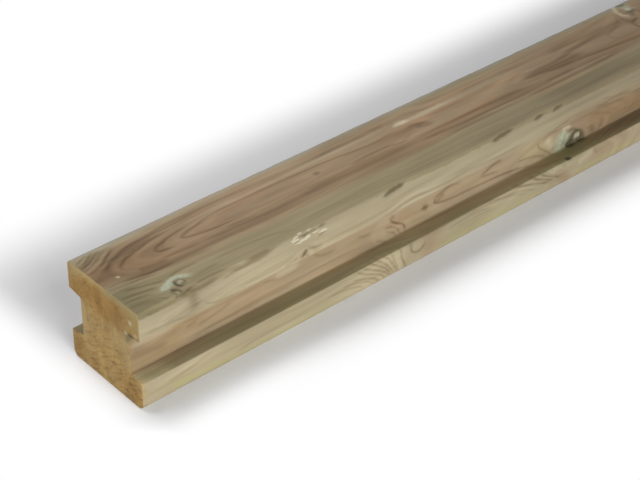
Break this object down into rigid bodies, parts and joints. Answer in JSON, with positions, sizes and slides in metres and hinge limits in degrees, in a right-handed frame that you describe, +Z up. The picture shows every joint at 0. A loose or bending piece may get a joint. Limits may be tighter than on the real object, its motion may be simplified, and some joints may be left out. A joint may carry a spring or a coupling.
{
  "type": "slotted timber fence post",
  "caption": "Square treated timber post lying on its side, with rounded arrises and a tapered board groove down each of two opposite sides.",
  "frame": {"origin": "middle of the underside, on the plane that the post lies on", "axes": "+X along the post's length, +Y across it out of one grooved side, +Z up out of the plain top side"},
  "size_m": [1.8, 0.09, 0.09],
  "materials": {
    "treated_softwood": "planed, pressure treated"
  },
  "bodies": {
    "root": {"post": "treated_softwood"}
  },
  "joints": []
}
